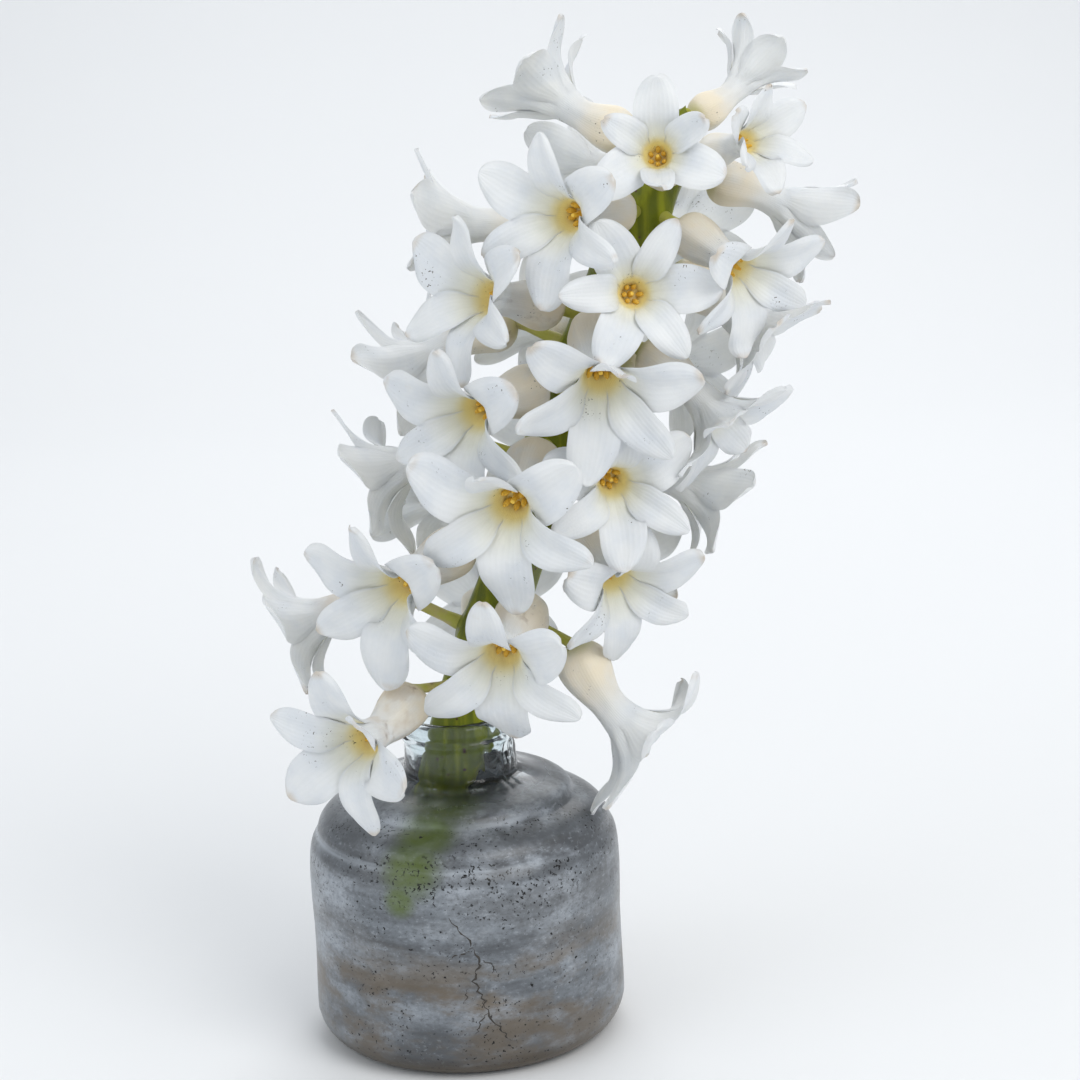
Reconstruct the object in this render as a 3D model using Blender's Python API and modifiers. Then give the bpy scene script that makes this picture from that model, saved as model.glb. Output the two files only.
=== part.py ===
"""A cut hyacinth spike standing in a small glass bottle, with a little water.

One mesh object for each piece: the bottle, the water, the flower stalk, and one for each
floret with its short stalk. Metres, +Z up. The origin is the centre of the bottle's foot.
"""

import math
from collections import namedtuple

import bmesh
import bpy
from mathutils import Matrix, Vector

MM = 0.001
GAP = 0.3 * MM

# Bottle
BODY_R = 35.0 * MM
FOOT_R = 27.0 * MM
NECK_R = 12.8 * MM
BORE_R = 10.6 * MM
BOTTLE_H = 74.5 * MM
GLASS_T = 2.6 * MM
BASE_T = 6.0 * MM
TURN_STEPS = 32

# Water and stalk
WATER_Z = 40.0 * MM
STALK_R = 6.0 * MM
STALK_SIDES_RESOLUTION = 3

# Florets
TUBE_L = 18.5 * MM
TUBE_WALL = 0.9 * MM
TEPAL_T = 0.9 * MM
MOUTH_R = 4.8 * MM
TEPALS = 6
OUTER_L, OUTER_HALF_W = 18.0 * MM, 5.1 * MM
INNER_L, INNER_HALF_W = 17.0 * MM, 3.4 * MM
WHORL_STEP = 0.45 * MM
FLARE = math.radians(18)
PEDICEL_R = 1.2 * MM

# The stalk's centreline: (x, z) in millimetres, from the cut end to the tip.
STALK_LINE = [
    (-12, 30.5), (-5.5, 50.5), (0.5, 69.5), (7, 89.5), (15, 109.5),
    (23.5, 133.5), (32, 153.5), (41, 173.5), (50, 193.5), (55, 205.5),
]
STALK_TAPER = [1.05, 1.15, 1.2, 1.15, 1.05, 1.0, 1.0, 1.05, 0.85, 0.4]

# station: mm along the stalk from its cut end.   turn: degrees round the stalk from its front.
# reach: mm from the stalk's axis to the floret's base.   leave: the way that the tube sets off.
# face: the way that the open mouth looks.   Both are (heading, rise) in degrees: heading 0 is to
# the front and 90 to +X, and rise is above level.   spin: degrees that the floret turns on its
# axis.   size: share of full size.   curls: how far each tepal turns back from the axis.
Floret = namedtuple("Floret", "name station turn reach leave face spin size curls")
FLORETS = [
    Floret("01", 178, 225, 11, (240, 10), (240, 34), 60, 0.95, (70, 45, 40, 45, 80, 65)),
    Floret("02", 174, 0, 9, (350, 24), (355, 18), 0, 0.85, (50, 38, 75, 28, 75, 38)),
    Floret("03", 186, 160, 9, (122, 10), (120, 40), 60, 0.76, (50, 45, 38, 45, 50, 45)),
    Floret("04", 180, 60, 8, (42, 16), (36, 14), 60, 0.72, (42, 50, 60, 62, 58, 40)),
    Floret("05", 175, 110, 11, (98, -12), (97, -30), 60, 0.9, (38, 34, 36, 34, 38, 36)),
    Floret("06", 170, 200, 11, (205, 0), (205, 0), 60, 0.9, (70, 70, 70, 70, 70, 70)),
    Floret("07", 164, 335, 10, (312, 6), (324, 2), 60, 1.0, (80, 80, 87, 85, 85, 70)),
    Floret("08", 139, 303, 11, (294, 18), (312, 11), 60, 1.0, (75, 85, 85, 85, 80, 68)),
    Floret("09", 146, 10, 9, (6, 14), (8, 12), 30, 0.92, (75, 80, 80, 80, 84, 78)),
    Floret("10", 165, 43, 11, (43, -26), (39, -22), 60, 0.95, (82, 88, 85, 85, 80, 60)),
    Floret("11", 154, 92, 10, (84, -30), (72, -38), 60, 1.0, (80, 80, 85, 85, 70, 60)),
    Floret("12", 139, 350, 10, (1, -18), (3, -26), 45, 1.1, (85, 80, 68, 72, 80, 35)),
    Floret("13", 137, 68, 11, (68, -30), (58, -45), 60, 1.0, (80, 75, 70, 75, 75, 75)),
    Floret("14", 123, 325, 11, (292, -4), (322, -12), 60, 1.05, (85, 80, 85, 90, 90, 75)),
    Floret("15", 105, 262, 14, (256, -6), (262, -22), 60, 1.0, (90, 85, 85, 80, 80, 80)),
    Floret("16", 110, 345, 11, (340, -30), (340, -12), 60, 1.15, (100, 95, 95, 95, 95, 35)),
    Floret("17", 110, 62, 8, (24, -5), (15, -7), 60, 0.95, (108, 85, 74, 72, 98, 98)),
    Floret("18", 96, 85, 10, (36, -48), (29, -28), 60, 0.98, (100, 80, 84, 88, 88, 112)),
    Floret("19", 85, 290, 12, (284, -30), (322, -12), 60, 1.1, (90, 80, 60, 70, 85, 75)),
    Floret("20", 64, 245, 21, (268, 4), (268, -24), 60, 1.05, (90, 85, 90, 90, 90, 80)),
    Floret("21", 75, 34, 11, (338, 0), (345, -22), 60, 1.1, (95, 90, 112, 85, 75, 90)),
    Floret("22", 52, 316, 18, (312, -42), (326, -2), 10, 1.05, (70, 85, 85, 100, 65, 45)),
    Floret("23", 71, 62, 20, (74, -72), (76, -46), 60, 1.1, (100, 84, 78, 84, 100, 116)),
    Floret("24", 90, 225, 11, (212, 0), (212, 0), 60, 1.0, (80, 85, 85, 80, 75, 75)),
    Floret("25", 131, 190, 11, (200, 8), (200, 0), 60, 0.95, (80, 80, 80, 80, 80, 80)),
    Floret("26", 131, 244, 18, (260, -8), (256, -36), 60, 1.05, (80, 65, 45, 45, 75, 80)),
    Floret("27", 152, 243, 17, (268, 14), (275, 4), 60, 1.0, (80, 80, 75, 45, 45, 60)),
    Floret("28", 109, 112, 14, (90, -10), (90, -26), 60, 1.0, (65, 80, 85, 85, 70, 60)),
    Floret("29", 156, 165, 11, (150, 5), (150, 0), 60, 0.95, (80, 80, 84, 80, 80, 80)),
    Floret("30", 130, 140, 12, (135, -8), (135, -14), 60, 0.95, (84, 80, 80, 80, 80, 86)),
    Floret("31", 107, 180, 11, (178, -4), (178, -12), 60, 1.0, (75, 80, 80, 80, 80, 70)),
    Floret("32", 86, 135, 11, (140, -10), (140, -20), 60, 1.0, (85, 85, 85, 85, 85, 85)),
    Floret("33", 66, 190, 11, (178, -4), (178, -12), 60, 1.0, (85, 85, 85, 85, 85, 80)),
]


def clear_scene():
    """Removes the startup objects, so that only this model is left."""
    for old in list(bpy.data.objects):
        bpy.data.objects.remove(old)


def new_collection(name):
    """A collection linked to the scene."""
    made = bpy.data.collections.new(name)
    bpy.context.scene.collection.children.link(made)
    return made


def new_material(name, colour, roughness, alpha=1.0, transmission=0.0):
    """A Principled material."""
    made = bpy.data.materials.new(name)
    made.use_nodes = True
    shader = made.node_tree.nodes["Principled BSDF"]
    shader.inputs["Base Color"].default_value = (*colour, 1.0)
    shader.inputs["Roughness"].default_value = roughness
    shader.inputs["Metallic"].default_value = 0.0
    shader.inputs["Transmission Weight"].default_value = transmission
    shader.inputs["Alpha"].default_value = alpha
    return made


def mesh_object(name, mesh, material, group):
    """An object for a mesh, smooth with sharp edges kept, in a collection."""
    mesh.materials.append(material)
    mesh.shade_smooth()
    mesh.set_sharp_from_angle(angle=math.radians(45))
    made = bpy.data.objects.new(name, mesh)
    group.objects.link(made)
    return made


# ---------------------------------------------------------------- turned pieces


def arc(centre, radius, start, end, count):
    """Points (r, z) on an arc, angles in degrees from +r towards +z."""
    points = []
    for k in range(count + 1):
        a = math.radians(start + (end - start) * k / count)
        points.append((centre[0] + radius * math.cos(a), centre[1] + radius * math.sin(a)))
    return points


def turned_object(name, profile, material, group):
    """Turns an open (r, z) profile, which starts and ends on the axis, about Z."""
    mesh = bpy.data.meshes.new(name)
    edges = [(k, k + 1) for k in range(len(profile) - 1)]
    mesh.from_pydata([(r, 0, z) for r, z in profile], edges, [])
    made = mesh_object(name, mesh, material, group)
    screw = made.modifiers.new("Turn", "SCREW")
    screw.steps = TURN_STEPS
    screw.render_steps = TURN_STEPS
    screw.use_merge_vertices = True
    screw.merge_threshold = 0.00001
    return made


def bottle_outer():
    """The bottle's outer profile from the lip down to the middle of the foot."""
    heel_r = BODY_R - FOOT_R
    lip = [
        (-0.9, 0.0), (0.3, -0.8), (0.4, -2.6), (-0.4, -3.6), (0.1, -4.8), (-0.5, -6.2),
        (-0.3, -11.4),
    ]
    shoulder = [
        (14.6, 60.6), (15.8, 60.0), (20.5, 58.4), (23.8, 57.2), (24.8, 55.8),
        (28.4, 53.8), (31.6, 51.0), (34.0, 47.4), (35.0, 42.5),
    ]
    heel = arc((FOOT_R, heel_r), heel_r, 0, -90, 4)
    return [
        *[(NECK_R + r * MM, BOTTLE_H + z * MM) for r, z in lip],
        *[(r * MM, z * MM) for r, z in shoulder],
        *heel,
        (0.0, 0.0),
    ]


def bottle_inner():
    """The bottle's inner profile from the middle of its floor up to the lip."""
    inner_r = BODY_R - GLASS_T
    floor = arc((inner_r - 6 * MM, BASE_T + 6 * MM), 6 * MM, -90, 0, 3)
    return [
        (0.0, BASE_T),
        *floor,
        (inner_r, 42.0 * MM),
        (31.3 * MM, 46.0 * MM),
        (28.5 * MM, 49.4 * MM),
        (23.6 * MM, 52.8 * MM),
        (13.0 * MM, 56.9 * MM),
        (BORE_R, 59.6 * MM),
        (BORE_R, BOTTLE_H - 0.8 * MM),
    ]


def build_bottle(material, group):
    """The glass bottle, one closed turned piece."""
    return turned_object("bottle", bottle_inner() + bottle_outer(), material, group)


def build_water(material, cutter, group):
    """The water, a gap inside the glass, with a hole for the stalk."""
    inner_r = BODY_R - GLASS_T - GAP
    floor_z = BASE_T + GAP
    bend = arc((inner_r - 6 * MM, floor_z + 6 * MM), 6 * MM, 0, -90, 3)
    profile = [(0.0, WATER_Z), (inner_r, WATER_Z), *bend, (0.0, floor_z)]
    made = turned_object("water", profile, material, group)
    cut = made.modifiers.new("Stalk hole", "BOOLEAN")
    cut.operation = "DIFFERENCE"
    cut.solver = "EXACT"
    cut.object = cutter
    return made


# ---------------------------------------------------------------- stalk


def stalk_curve(name, grow):
    """The stalk as a tube along its centreline, wider by grow all round."""
    curve = bpy.data.curves.new(name, "CURVE")
    curve.dimensions = "3D"
    curve.bevel_depth = STALK_R
    curve.bevel_resolution = STALK_SIDES_RESOLUTION
    curve.use_fill_caps = True
    spline = curve.splines.new("POLY")
    spline.points.add(len(STALK_LINE) - 1)
    for point, (x, z), share in zip(spline.points, STALK_LINE, STALK_TAPER):
        point.co = (x * MM, 0, z * MM, 1)
        point.radius = share + grow / STALK_R
    return bpy.data.objects.new(name, curve)


def mesh_from_curve(name, curve_object, material, group):
    """The curve's evaluated mesh as a new closed object; the curve is removed."""
    group.objects.link(curve_object)
    bpy.context.view_layer.update()
    graph = bpy.context.evaluated_depsgraph_get()
    mesh = bpy.data.meshes.new_from_object(curve_object.evaluated_get(graph))
    work = bmesh.new()
    work.from_mesh(mesh)
    bmesh.ops.remove_doubles(work, verts=work.verts, dist=1e-6)
    work.to_mesh(mesh)
    work.free()
    mesh.name = name
    bpy.data.objects.remove(curve_object)
    return mesh_object(name, mesh, material, group)


def stalk_lengths():
    """Distance along the stalk, in metres, of each point of its line."""
    lengths = [0.0]
    for (x0, z0), (x1, z1) in zip(STALK_LINE, STALK_LINE[1:]):
        lengths.append(lengths[-1] + math.hypot(x1 - x0, z1 - z0) * MM)
    return lengths


def stalk_at(distance):
    """(point, direction, radius) of the stalk at a distance from its cut end."""
    lengths = stalk_lengths()
    k = max(i for i in range(len(lengths) - 1) if lengths[i] <= distance or i == 0)
    share = min(1.0, (distance - lengths[k]) / (lengths[k + 1] - lengths[k]))
    (x0, z0), (x1, z1) = STALK_LINE[k], STALK_LINE[k + 1]
    point = Vector((x0 + (x1 - x0) * share, 0, z0 + (z1 - z0) * share)) * MM
    direction = Vector((x1 - x0, 0, z1 - z0)).normalized()
    radius = STALK_R * (STALK_TAPER[k] + (STALK_TAPER[k + 1] - STALK_TAPER[k]) * share)
    return point, direction, radius


# ---------------------------------------------------------------- florets


def smooth(x):
    """Smooth step from 0 to 1."""
    x = min(1.0, max(0.0, x))
    return x * x * (3 - 2 * x)


def aim(heading, rise):
    """Unit vector for a heading and a rise, in degrees."""
    h, r = math.radians(heading), math.radians(rise)
    return Vector((math.sin(h) * math.cos(r), -math.cos(h) * math.cos(r), math.sin(r)))


def square_to(vector, axis):
    """The part of vector that is square to axis, as a unit vector."""
    return (vector - axis * vector.dot(axis)).normalized()


TUBE_RADII = [
    (0.0, 1.5), (0.06, 3.4), (0.18, 5.0), (0.32, 5.4), (0.5, 4.7),
    (0.68, 3.9), (0.85, 4.1), (1.0, 4.8),
]


def tube_radius(t):
    """Radius of the flower tube at a share of its length."""
    for (t0, r0), (t1, r1) in zip(TUBE_RADII, TUBE_RADII[1:]):
        if t <= t1:
            return (r0 + (r1 - r0) * smooth((t - t0) / (t1 - t0))) * MM
    return MOUTH_R


class FloretFrame:
    """Where a floret's tube and tepals lie."""

    def __init__(self, row):
        self.row = row
        point, along, radius = stalk_at(row.station * MM)
        side = square_to(Vector((1, 0, 0)), along)
        front = square_to(Vector((0, -1, 0)), along)
        a = math.radians(row.turn)
        self.radial = side * math.sin(a) + front * math.cos(a)
        self.root = point + self.radial * (radius + 2 * GAP)
        self.base = point + self.radial * row.reach * MM
        self.axis = aim(*row.face)
        half_length = TUBE_L * row.size / 2
        self.middle = self.base + aim(*row.leave) * half_length
        self.mouth = self.middle + self.axis * half_length
        up = square_to(Vector((0, 0, 1)), self.axis)
        spin = Matrix.Rotation(math.radians(row.spin), 3, self.axis)
        self.u = spin @ up
        self.v = self.axis.cross(self.u)

    def tube_point(self, t):
        """Centre of the tube at a share of its length."""
        return self.base * (1 - t) ** 2 + self.middle * 2 * t * (1 - t) + self.mouth * t * t

    def tube_direction(self, t):
        """Direction of the tube at a share of its length."""
        return ((self.middle - self.base) * (1 - t) + (self.mouth - self.middle) * t).normalized()

    def ring(self, t, radius, count):
        """Points of a ring round the tube, the first at the u side turned back half a tepal."""
        turn = self.axis.rotation_difference(self.tube_direction(t))
        return self.ring_at(self.tube_point(t), turn @ self.u, turn @ self.v, radius, count)

    def ring_at(self, centre, u, v, radius, count):
        """Points of a ring about a centre."""
        points = []
        for k in range(count):
            a = 2 * math.pi * k / count - math.pi / TEPALS
            points.append(centre + u * radius * math.cos(a) + v * radius * math.sin(a))
        return points

    def pedicel_ring(self, share):
        """A ring of six round the short stalk, which leaves the main stalk square to it."""
        start = self.tube_direction(0)
        reach = (self.base - self.root).length
        knee = self.root + self.radial * reach * 0.4
        point = self.root * (1 - share) ** 2 + knee * 2 * share * (1 - share) + self.base * share**2
        along = ((knee - self.root) * (1 - share) + (self.base - knee) * share).normalized()
        along = along.lerp(start, share).normalized()
        turn = self.axis.rotation_difference(along)
        return self.ring_at(point, turn @ self.u, turn @ self.v, PEDICEL_R, TEPALS)


def tepal_section(frame, index, s):
    """(centre, sideways, inward, half width) of a tepal at a share of its length."""
    outer = index % 2 == 0
    length = (OUTER_L if outer else INNER_L) * frame.row.size
    half = (OUTER_HALF_W if outer else INNER_HALF_W) * frame.row.size
    a = 2 * math.pi * index / TEPALS
    radial = frame.u * math.cos(a) + frame.v * math.sin(a)
    sideways = frame.axis.cross(radial)
    curl = math.radians(frame.row.curls[index])
    centre = frame.mouth + radial * MOUTH_R * frame.row.size
    steps = 24
    for k in range(int(round(steps * s))):
        angle = FLARE + (curl - FLARE) * smooth((k + 0.5) / steps / 0.8)
        centre = centre + (radial * math.sin(angle) + frame.axis * math.cos(angle)) * length / steps
    angle = FLARE + (curl - FLARE) * smooth(s / 0.8)
    inward = frame.axis * math.sin(angle) - radial * math.cos(angle)
    whorl = -WHORL_STEP if outer else WHORL_STEP
    root_half = MOUTH_R * frame.row.size * math.sin(math.pi / TEPALS)
    wide = root_half + (half - root_half) * smooth(s / 0.45)
    wide = min(wide, (centre - frame.mouth).dot(radial) * (0.54 if outer else 0.43))
    if s > 0.45:
        wide *= max(0.0, 1 - ((s - 0.45) / 0.55) ** 2) ** 0.6
    return centre + inward * whorl * smooth(s / 0.3), sideways, inward, wide


def tepal_row(frame, index, s):
    """Left, middle and right points of a tepal's outer face at a share of its length."""
    centre, sideways, inward, wide = tepal_section(frame, index, s)
    cup = inward * wide * 0.3
    return [centre - sideways * wide + cup, centre, centre + sideways * wide + cup], inward


def floret_mesh(frame):
    """The floret as one closed skin: short stalk, swollen tube, throat and six tepals."""
    size = frame.row.size
    work = bmesh.new()

    def add(points):
        return [work.verts.new(p) for p in points]

    def face(*corners):
        work.faces.new(corners)

    def join_same(low, high):
        for k in range(len(low)):
            n = (k + 1) % len(low)
            face(low[k], low[n], high[n], high[k])

    def join_six_to_twelve(low, high, inside=False):
        for k in range(TEPALS):
            n = (k + 1) % TEPALS
            a, b, c = high[2 * k], high[2 * k + 1], high[(2 * k + 2) % (2 * TEPALS)]
            for corners in ((low[k], b, a), (low[k], low[n], b), (low[n], c, b)):
                face(*(corners[::-1] if inside else corners))

    # Outer skin
    root, knee = add(frame.pedicel_ring(0)), add(frame.pedicel_ring(0.55))
    neck = add(frame.ring(0, 1.5 * MM * size, TEPALS))
    heel = add(frame.ring(0.09, tube_radius(0.09) * size, TEPALS))
    belly = add(frame.ring(0.3, tube_radius(0.3) * size, 2 * TEPALS))
    waist = add(frame.ring(0.72, tube_radius(0.72) * size, 2 * TEPALS))
    lip = add(frame.ring(1, MOUTH_R * size, 2 * TEPALS))
    face(*root[::-1])
    join_same(root, knee)
    join_same(knee, neck)
    join_same(neck, heel)
    join_six_to_twelve(heel, belly)
    join_same(belly, waist)
    join_same(waist, lip)

    # Throat
    floor = add(frame.ring(0.45, 2.0 * MM * size, TEPALS))
    waist_in = add(frame.ring(0.72, tube_radius(0.72) * size - TUBE_WALL, 2 * TEPALS))
    lip_in = add(frame.ring(1, MOUTH_R * size - TUBE_WALL, 2 * TEPALS))
    face(*floor)
    join_six_to_twelve(floor, waist_in, inside=True)
    join_same(lip_in, waist_in)

    # Tepals
    count = 2 * TEPALS
    for index in range(TEPALS):
        first = 2 * index
        low = [lip[first], lip[first + 1], lip[(first + 2) % count]]
        low_in = [lip_in[first], lip_in[first + 1], lip_in[(first + 2) % count]]
        for s in (0.33, 0.66, 0.88):
            points, inward = tepal_row(frame, index, s)
            high = add(points)
            high_in = add([p + inward * TEPAL_T for p in points])
            for k in (0, 1):
                face(low[k], low[k + 1], high[k + 1], high[k])
                face(low_in[k + 1], low_in[k], high_in[k], high_in[k + 1])
            face(low_in[0], low[0], high[0], high_in[0])
            face(low[2], low_in[2], high_in[2], high[2])
            low, low_in = high, high_in
        centre, _, inward, _ = tepal_section(frame, index, 1)
        tip, tip_in = add([centre, centre + inward * TEPAL_T * 0.8])
        for k in (0, 1):
            face(low[k], low[k + 1], tip)
            face(low_in[k + 1], low_in[k], tip_in)
        face(low_in[0], low[0], tip, tip_in)
        face(low[2], low_in[2], tip_in, tip)

    mesh = bpy.data.meshes.new("floret")
    work.to_mesh(mesh)
    work.free()
    return mesh


def build_floret(row, material, group):
    """One floret, as its own object with its origin at the tube's base."""
    frame = FloretFrame(row)
    mesh = floret_mesh(frame)
    mesh.transform(Matrix.Translation(-frame.base))
    made = mesh_object("floret_" + row.name, mesh, material, group)
    made.location = frame.base
    return made


def main():
    """Builds every piece of the flower and its bottle."""
    clear_scene()
    pieces = new_collection("Hyacinth")
    cutters = new_collection("Cutters")
    glass = new_material("Bottle glass", (0.5, 0.53, 0.56), 0.2, alpha=0.6, transmission=0.5)
    water = new_material("Water", (0.85, 0.92, 0.95), 0.05, alpha=0.3, transmission=1.0)
    green = new_material("Stalk green", (0.18, 0.27, 0.03), 0.45)
    white = new_material("Floret white", (0.9, 0.9, 0.87), 0.5)

    build_bottle(glass, pieces)
    hole = mesh_from_curve("stalk_hole", stalk_curve("stalk_hole", GAP), green, cutters)
    hole.hide_render = True
    hole.display_type = "WIRE"
    build_water(water, hole, pieces)
    mesh_from_curve("stalk", stalk_curve("stalk", 0.0), green, pieces)
    for row in FLORETS:
        build_floret(row, white, pieces)


if __name__ == "__main__":
    main()
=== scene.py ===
"""The looks of a cut white hyacinth spike that leans in a small old glass bottle.

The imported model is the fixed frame. Each floret, the stalk and the bottle get a finer mesh that
stands for its plain solid. The water keeps its solid and gets a better material.
All sizes are in metres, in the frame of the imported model, unless a name says otherwise.
"""

import logging
import math
import random
from dataclasses import dataclass, field
from enum import Enum

import bpy
import numpy as np
from mathutils import Matrix, Vector, noise


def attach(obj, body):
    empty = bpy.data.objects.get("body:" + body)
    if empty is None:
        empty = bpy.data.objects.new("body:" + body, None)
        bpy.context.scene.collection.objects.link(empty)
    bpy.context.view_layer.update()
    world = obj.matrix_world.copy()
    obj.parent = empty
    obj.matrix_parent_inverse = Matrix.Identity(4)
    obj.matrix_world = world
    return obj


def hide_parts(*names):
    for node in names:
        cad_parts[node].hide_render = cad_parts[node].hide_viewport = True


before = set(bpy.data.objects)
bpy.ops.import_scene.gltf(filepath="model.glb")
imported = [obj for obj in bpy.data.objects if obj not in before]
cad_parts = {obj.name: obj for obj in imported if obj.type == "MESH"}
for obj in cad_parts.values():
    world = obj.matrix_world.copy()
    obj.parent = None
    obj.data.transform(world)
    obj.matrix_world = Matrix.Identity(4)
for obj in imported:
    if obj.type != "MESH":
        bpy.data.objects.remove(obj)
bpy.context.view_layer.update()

LOG = logging.getLogger("hyacinth")
MM = 0.001
TEPALS = 6
SHARP_EDGE = math.radians(70)
SMALLEST = 1e-9


class Whorl(Enum):
    """The two rings of three tepals."""

    OUTER = 0
    INNER = 1


# ---------------------------------------------------------------- small helpers


def smooth(x: float) -> float:
    """Smooth step from 0 to 1."""
    x = min(1.0, max(0.0, x))
    return x * x * (3 - 2 * x)


def aim(heading: float, rise: float) -> Vector:
    """Unit vector for a heading and a rise in degrees: heading 0 is the front, 90 is +X."""
    h, r = math.radians(heading), math.radians(rise)
    return Vector((math.sin(h) * math.cos(r), -math.cos(h) * math.cos(r), math.sin(r)))


def square_to(vector: Vector, axis: Vector) -> Vector:
    """The part of a vector that is square to an axis, as a unit vector."""
    return (vector - axis * vector.dot(axis)).normalized()


def flowing(knots: list[tuple], t: float) -> np.ndarray:
    """A point on a smooth curve through knots.

    Args:
        knots: Tuples that start with the place along the curve, then the values there.
        t: The place along the curve.

    Returns:
        The values at that place, from a Catmull-Rom curve.
    """
    k = 0
    while k < len(knots) - 2 and t > knots[k + 1][0]:
        k += 1
    before, start = knots[max(k - 1, 0)], knots[k]
    end, after = knots[k + 1], knots[min(k + 2, len(knots) - 1)]
    step = end[0] - start[0]
    x = min(1.0, max(0.0, (t - start[0]) / step))
    a, b = np.array(start[1:], float), np.array(end[1:], float)
    slope_a = (b - np.array(before[1:], float)) / max(end[0] - before[0], SMALLEST) * step
    slope_b = (np.array(after[1:], float) - a) / max(after[0] - start[0], SMALLEST) * step
    return (
        a * (2 * x**3 - 3 * x**2 + 1) + slope_a * (x**3 - 2 * x**2 + x)
        + b * (3 * x**2 - 2 * x**3) + slope_b * (x**3 - x**2)
    )


class Skin:
    """Gathers a mesh's points, faces and the numbers that its finish reads."""

    def __init__(self) -> None:
        """Starts an empty skin."""
        self.points: list[Vector] = []
        self.faces: list[tuple] = []
        self.along: list[float] = []
        self.across: list[float] = []
        self.inside: list[float] = []
        self.age = 0.0

    def row(
        self, points: list, along: float, across: list | None = None, inside: float = 0
    ) -> list:
        """Adds a row of points.

        Args:
            points: The places of the new points.
            along: How far along the piece the row lies, for the finish.
            across: How far across the piece each point lies, or None for 0.
            inside: 1 on an inner face, 0 on an outer one.

        Returns:
            The numbers of the new points.
        """
        first = len(self.points)
        self.points.extend(Vector(p) for p in points)
        self.along.extend([along] * len(points))
        self.across.extend(across if across is not None else [0.0] * len(points))
        self.inside.extend([inside] * len(points))
        return list(range(first, len(self.points)))

    def bridge(self, low: list, high: list, closed: bool = True, flip: bool = False) -> None:
        """Joins two rows of the same length with faces.

        Args:
            low: The first row's point numbers.
            high: The next row's point numbers.
            closed: True where the rows are rings.
            flip: True turns the faces over.
        """
        count = len(low)
        for k in range(count if closed else count - 1):
            n = (k + 1) % count
            corners = [low[k], low[n], high[n], high[k]]
            corners = [c for i, c in enumerate(corners) if c != corners[i - 1]]
            if len(corners) > 2:
                self.faces.append(tuple(corners[::-1] if flip else corners))

    def fan(self, ring: list, tip: int, flip: bool = False) -> None:
        """Closes a ring of points with faces that meet at one point.

        Args:
            ring: The ring's point numbers.
            tip: The number of the point where the faces meet.
            flip: True turns the faces over.
        """
        for k, low in enumerate(ring):
            corners = (low, ring[(k + 1) % len(ring)], tip)
            self.faces.append(corners[::-1] if flip else corners)

    def tube(self, path: list, radii: list, sides: int, start: float = 0, end: float = 1) -> None:
        """Adds a closed tube with rounded ends along a path.

        Args:
            path: The points of the centreline.
            radii: The tube's radius at each point.
            sides: How many sides the tube has.
            start: What the finish reads at the first point.
            end: What the finish reads at the last point.
        """
        path = [Vector(p) for p in path]
        direction = (path[1] - path[0]).normalized()
        side = square_to(Vector((0.31, 0.17, 0.93)), direction)
        ring = None
        last = len(path) - 1
        first_cap = self.row([path[0]], start)[0]
        for k, (point, radius) in enumerate(zip(path, radii)):
            direction = (path[min(k + 1, last)] - path[max(k - 1, 0)]).normalized()
            side = square_to(side, direction)
            other = direction.cross(side)
            angles = [2 * math.pi * j / sides for j in range(sides)]
            places = [point + (side * math.cos(a) + other * math.sin(a)) * radius for a in angles]
            new = self.row(places, start + (end - start) * k / last, [a / math.pi for a in angles])
            if ring is None:
                self.fan(new, first_cap, flip=True)
            else:
                self.bridge(ring, new)
            ring = new
        self.fan(ring, self.row([path[-1]], end)[0])

    def piece(self, name: str, *finishes: bpy.types.Material) -> bpy.types.Object:
        """Makes the object, smooth, with the numbers that its finish reads.

        Args:
            name: The piece's name.
            finishes: The materials of the piece.

        Returns:
            The new object, which rides on the model.
        """
        mesh = bpy.data.meshes.new(name)
        mesh.from_pydata([tuple(p) for p in self.points], [], self.faces)
        numbers = {
            "along": self.along, "across": self.across, "inside": self.inside,
            "age": [self.age] * len(self.points),
        }
        for title, values in numbers.items():
            layer = mesh.attributes.new(title, "FLOAT", "POINT")
            layer.data.foreach_set("value", np.array(values, np.float32))
        for finish in finishes:
            mesh.materials.append(finish)
        mesh.shade_smooth()
        mesh.set_sharp_from_angle(angle=SHARP_EDGE)
        mesh.validate()
        mesh.update()
        made = bpy.data.objects.new(name, mesh)
        bpy.context.scene.collection.objects.link(made)
        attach(made, "root")
        LOG.info("built %s: %d points, %d faces", name, len(mesh.vertices), len(mesh.polygons))
        return made


# ---------------------------------------------------------------- finishes


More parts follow.
